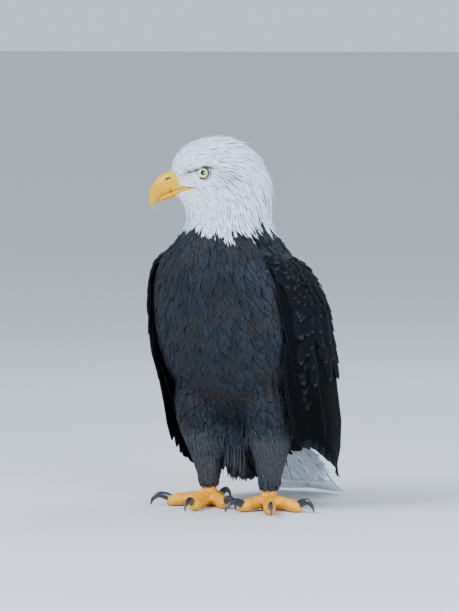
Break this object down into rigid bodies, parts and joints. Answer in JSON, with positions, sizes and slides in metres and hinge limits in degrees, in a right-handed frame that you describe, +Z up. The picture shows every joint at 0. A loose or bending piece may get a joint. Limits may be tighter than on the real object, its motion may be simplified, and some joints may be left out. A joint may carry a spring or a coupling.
{
  "type": "bald eagle figure",
  "caption": "Life-size still model of a large dark bird of prey with a white head and tail, perched upright, head turned to its right, wings folded.",
  "frame": {"origin": "on the floor, under the middle of the bird's outline", "axes": "+Z up; the body faces -Y, its left side is +X, the tail lies towards +Y"},
  "size_m": [0.2758, 0.34, 0.5365],
  "materials": {
    "white_plumage": "matte",
    "dark_plumage": "matte",
    "bill_horn": "satin",
    "foot_skin": "matte",
    "claw_horn": "gloss",
    "eye_glaze": "gloss"
  },
  "bodies": {
    "root": {"head": "white_plumage", "neck": "white_plumage", "trunk": "dark_plumage", "bill_upper": "bill_horn", "bill_lower": "bill_horn", "eye_left": "eye_glaze", "eye_right": "eye_glaze", "tail": "white_plumage", "wing_left_coverts": "dark_plumage", "wing_left_secondaries": "dark_plumage", "wing_left_primaries": "dark_plumage", "wing_right_coverts": "dark_plumage", "wing_right_secondaries": "dark_plumage", "wing_right_primaries": "dark_plumage", "thigh_left": "dark_plumage", "shin_left": "foot_skin", "toe_left_inner": "foot_skin", "claw_left_inner": "claw_horn", "toe_left_middle": "foot_skin", "claw_left_middle": "claw_horn", "toe_left_outer": "foot_skin", "claw_left_outer": "claw_horn", "toe_left_hind": "foot_skin", "claw_left_hind": "claw_horn", "thigh_right": "dark_plumage", "shin_right": "foot_skin", "toe_right_inner": "foot_skin", "claw_right_inner": "claw_horn", "toe_right_middle": "foot_skin", "claw_right_middle": "claw_horn", "toe_right_outer": "foot_skin", "claw_right_outer": "claw_horn", "toe_right_hind": "foot_skin", "claw_right_hind": "claw_horn"}
  },
  "joints": []
}
